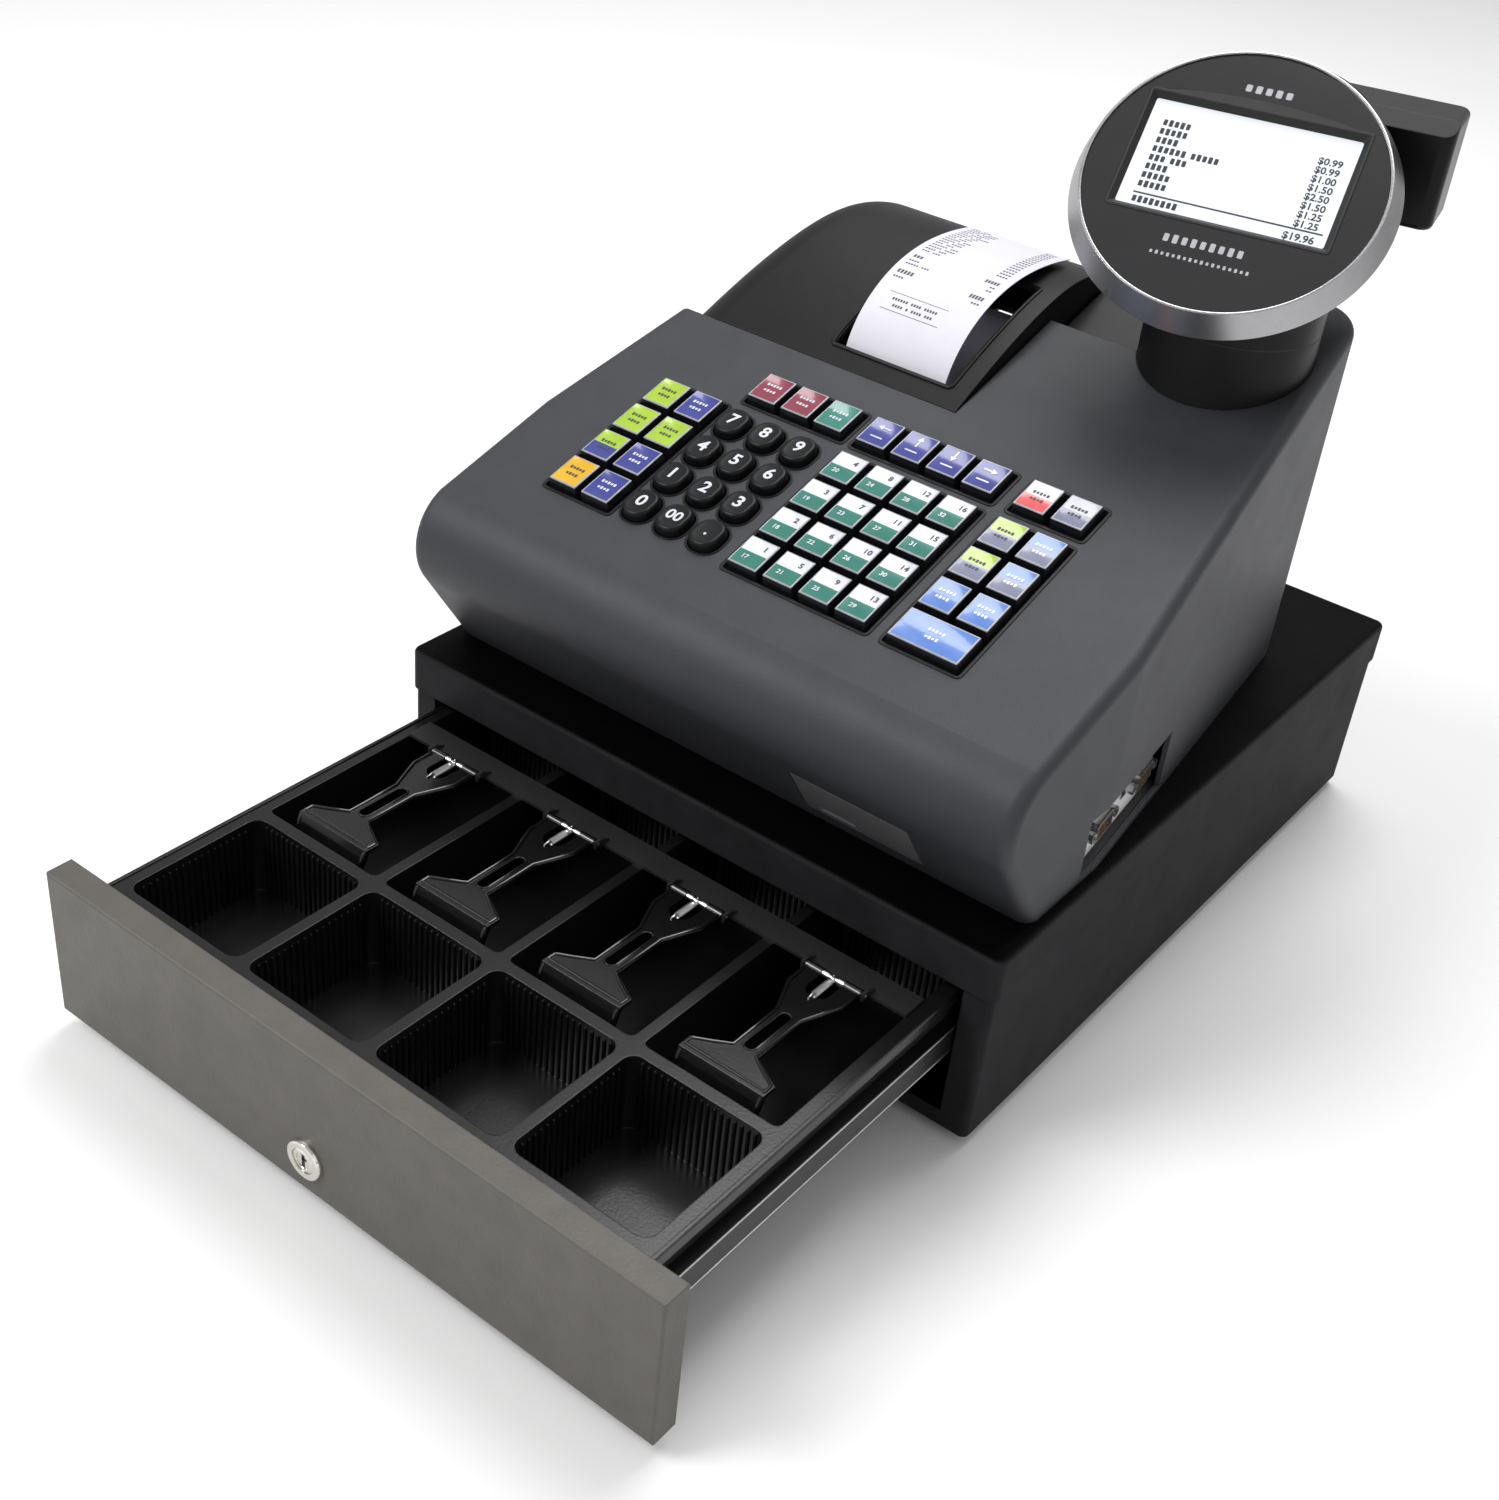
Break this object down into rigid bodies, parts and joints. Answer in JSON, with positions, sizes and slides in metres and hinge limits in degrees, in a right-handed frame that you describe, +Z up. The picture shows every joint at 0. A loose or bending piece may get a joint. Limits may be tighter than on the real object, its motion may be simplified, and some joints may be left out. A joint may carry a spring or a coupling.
{
  "type": "electronic cash register",
  "caption": "Electronic cash register with keyed sloping deck, receipt printer, round operator display on a tower, customer display and an open drawer with coin cups and note clips.",
  "frame": {"origin": "bottom centre of the register's bounding box as modelled, with its drawer open, on the counter", "axes": "+Z up, -Y towards the operator, +X to the operator's right"},
  "size_m": [0.336, 0.6002, 0.3972],
  "materials": {
    "cabinet_paint": "satin black textured powder coat",
    "panel_paint": "warm grey textured powder coat",
    "foot_rubber": "matt",
    "zinc_steel": "bright zinc plate",
    "lock_chrome": "polished",
    "till_plastic": "gloss black",
    "clip_plastic": "gloss black",
    "housing_plastic": "fine-textured charcoal",
    "cover_plastic": "satin black",
    "inner_plastic": "matt black",
    "platen_rubber": "matt",
    "paper": "thermal paper",
    "circuit_board": "solder resist",
    "ring_steel": "brushed",
    "face_plastic": "gloss black",
    "display_black": "gloss black",
    "number_key": "black",
    "left_key": "lime",
    "department_key": "white",
    "payment_key": "blue",
    "top_row_key": "navy",
    "lcd": "lit liquid-crystal screen"
  },
  "bodies": {
    "cabinet": {"cabinet_lid": "cabinet_paint", "cabinet_body": "cabinet_paint", "cabinet_feet": "foot_rubber", "slide_rails": "zinc_steel", "drawer_latch": "zinc_steel", "upper_housing": "housing_plastic", "base_plate": "inner_plastic", "rear_deck": "cover_plastic", "printer_frame": "zinc_steel", "cover_hinge_pin": "zinc_steel", "print_head": "inner_plastic", "switch_board": "circuit_board", "main_board": "circuit_board", "power_supply": "inner_plastic", "port_plate": "zinc_steel", "serial_connectors": "zinc_steel", "tower_socket": "housing_plastic"},
    "drawer": {"drawer_front": "panel_paint", "drawer_tray": "zinc_steel", "drawer_runners": "zinc_steel", "lock_barrel": "lock_chrome", "till": "till_plastic", "clip_bar": "zinc_steel", "clip_pins": "zinc_steel"},
    "lock": {"lock_plug": "lock_chrome"},
    "cover": {"printer_cover": "cover_plastic", "receipt_strip": "paper", "tear_bar": "zinc_steel"},
    "roll": {"paper_roll": "paper", "roll_spindle": "inner_plastic"},
    "platen": {"platen_roller": "platen_rubber"},
    "hatch": {"front_hatch": "housing_plastic"},
    "neck": {"tower_neck": "housing_plastic", "customer_display": "display_black", "tilt_pin": "zinc_steel"},
    "head": {"head_shell": "cover_plastic", "head_ring": "ring_steel", "head_face": "face_plastic", "lcd_panel": "lcd"},
    "clip_1": {"bill_clip_1": "clip_plastic"},
    "clip_2": {"bill_clip_2": "clip_plastic"},
    "clip_3": {"bill_clip_3": "clip_plastic"},
    "clip_4": {"bill_clip_4": "clip_plastic"},
    "key_7": {"key_7": "number_key"},
    "key_8": {"key_8": "number_key"},
    "key_9": {"key_9": "number_key"},
    "key_4": {"key_4": "number_key"},
    "key_5": {"key_5": "number_key"},
    "key_6": {"key_6": "number_key"},
    "key_1": {"key_1": "number_key"},
    "key_2": {"key_2": "number_key"},
    "key_3": {"key_3": "number_key"},
    "key_0": {"key_0": "number_key"},
    "key_00": {"key_00": "number_key"},
    "key_point": {"key_point": "number_key"},
    "left_keys": {"left_keys": "left_key"},
    "department_keys": {"department_keys": "department_key"},
    "payment_keys": {"payment_keys": "payment_key"},
    "top_row_keys": {"top_row_keys": "top_row_key"},
    "total_key": {"total_key": "payment_key"}
  },
  "joints": [
    {"name": "drawer_slide", "type": "slide", "parent": "cabinet", "child": "drawer", "axis": [0, -1, 0], "range_m": [-0.194, 0.045]},
    {"name": "lock_turn", "type": "hinge", "parent": "drawer", "child": "lock", "pos_m": [-0.012, -0.2979, 0.027], "axis": [0, -1, 0], "range_deg": [0, 90]},
    {"name": "cover_hinge", "type": "hinge", "parent": "cabinet", "child": "cover", "pos_m": [-0.033, 0.2281, 0.231], "axis": [1, 0, 0], "range_deg": [-75, 0]},
    {"name": "roll_spin", "type": "hinge", "parent": "cabinet", "child": "roll", "pos_m": [-0.033, 0.1651, 0.226], "axis": [1, 0, 0], "continuous": true},
    {"name": "platen_spin", "type": "hinge", "parent": "cabinet", "child": "platen", "pos_m": [-0.033, 0.1051, 0.231], "axis": [1, 0, 0], "continuous": true},
    {"name": "display_swivel", "type": "hinge", "parent": "cabinet", "child": "neck", "pos_m": [0.094, 0.1751, 0.3], "axis": [0, 0, 1], "range_deg": [-45, 30]},
    {"name": "hatch_hinge", "type": "hinge", "parent": "cabinet", "child": "hatch", "pos_m": [0.082, -0.06684, 0.11547], "axis": [1, 0, 0], "range_deg": [0, 65]},
    {"name": "display_tilt", "type": "hinge", "parent": "neck", "child": "head", "pos_m": [0.09525, 0.16923, 0.33305], "axis": [0.9781, 0.2079, 0], "range_deg": [-5, 5]},
    {"name": "clip_1_lift", "type": "hinge", "parent": "drawer", "child": "clip_1", "pos_m": [-0.10875, -0.1189, 0.0808], "axis": [-1, 0, 0], "range_deg": [-22, 100]},
    {"name": "clip_2_lift", "type": "hinge", "parent": "drawer", "child": "clip_2", "pos_m": [-0.03625, -0.1189, 0.0808], "axis": [-1, 0, 0], "range_deg": [-22, 100]},
    {"name": "clip_3_lift", "type": "hinge", "parent": "drawer", "child": "clip_3", "pos_m": [0.03625, -0.1189, 0.0808], "axis": [-1, 0, 0], "range_deg": [-22, 100]},
    {"name": "clip_4_lift", "type": "hinge", "parent": "drawer", "child": "clip_4", "pos_m": [0.10875, -0.1189, 0.0808], "axis": [-1, 0, 0], "range_deg": [-22, 100]},
    {"name": "press_key_7", "type": "slide", "parent": "cabinet", "child": "key_7", "axis": [0, 0.3007, -0.9537], "range_m": [0, 0.003], "stiffness_N_per_m": 300},
    {"name": "press_key_8", "type": "slide", "parent": "cabinet", "child": "key_8", "axis": [0, 0.3007, -0.9537], "range_m": [0, 0.003], "stiffness_N_per_m": 300},
    {"name": "press_key_9", "type": "slide", "parent": "cabinet", "child": "key_9", "axis": [0, 0.3007, -0.9537], "range_m": [0, 0.003], "stiffness_N_per_m": 300},
    {"name": "press_key_4", "type": "slide", "parent": "cabinet", "child": "key_4", "axis": [0, 0.3007, -0.9537], "range_m": [0, 0.003], "stiffness_N_per_m": 300},
    {"name": "press_key_5", "type": "slide", "parent": "cabinet", "child": "key_5", "axis": [0, 0.3007, -0.9537], "range_m": [0, 0.003], "stiffness_N_per_m": 300},
    {"name": "press_key_6", "type": "slide", "parent": "cabinet", "child": "key_6", "axis": [0, 0.3007, -0.9537], "range_m": [0, 0.003], "stiffness_N_per_m": 300},
    {"name": "press_key_1", "type": "slide", "parent": "cabinet", "child": "key_1", "axis": [0, 0.3007, -0.9537], "range_m": [0, 0.003], "stiffness_N_per_m": 300},
    {"name": "press_key_2", "type": "slide", "parent": "cabinet", "child": "key_2", "axis": [0, 0.3007, -0.9537], "range_m": [0, 0.003], "stiffness_N_per_m": 300},
    {"name": "press_key_3", "type": "slide", "parent": "cabinet", "child": "key_3", "axis": [0, 0.3007, -0.9537], "range_m": [0, 0.003], "stiffness_N_per_m": 300},
    {"name": "press_key_0", "type": "slide", "parent": "cabinet", "child": "key_0", "axis": [0, 0.3007, -0.9537], "range_m": [0, 0.003], "stiffness_N_per_m": 300},
    {"name": "press_key_00", "type": "slide", "parent": "cabinet", "child": "key_00", "axis": [0, 0.3007, -0.9537], "range_m": [0, 0.003], "stiffness_N_per_m": 300},
    {"name": "press_key_point", "type": "slide", "parent": "cabinet", "child": "key_point", "axis": [0, 0.3007, -0.9537], "range_m": [0, 0.003], "stiffness_N_per_m": 300},
    {"name": "press_left_keys", "type": "slide", "parent": "cabinet", "child": "left_keys", "axis": [0, 0.3007, -0.9537], "range_m": [0, 0.003], "stiffness_N_per_m": 2400},
    {"name": "press_department_keys", "type": "slide", "parent": "cabinet", "child": "department_keys", "axis": [0, 0.3007, -0.9537], "range_m": [0, 0.003], "stiffness_N_per_m": 4800},
    {"name": "press_payment_keys", "type": "slide", "parent": "cabinet", "child": "payment_keys", "axis": [0, 0.3007, -0.9537], "range_m": [0, 0.003], "stiffness_N_per_m": 1800},
    {"name": "press_top_row_keys", "type": "slide", "parent": "cabinet", "child": "top_row_keys", "axis": [0, 0.3007, -0.9537], "range_m": [0, 0.003], "stiffness_N_per_m": 2700},
    {"name": "press_total_key", "type": "slide", "parent": "cabinet", "child": "total_key", "axis": [0, 0.3007, -0.9537], "range_m": [0, 0.003], "stiffness_N_per_m": 600}
  ],
  "couplings": [
    {"joint": "platen_spin", "follows": "roll_spin", "ratio": 4.5}
  ]
}
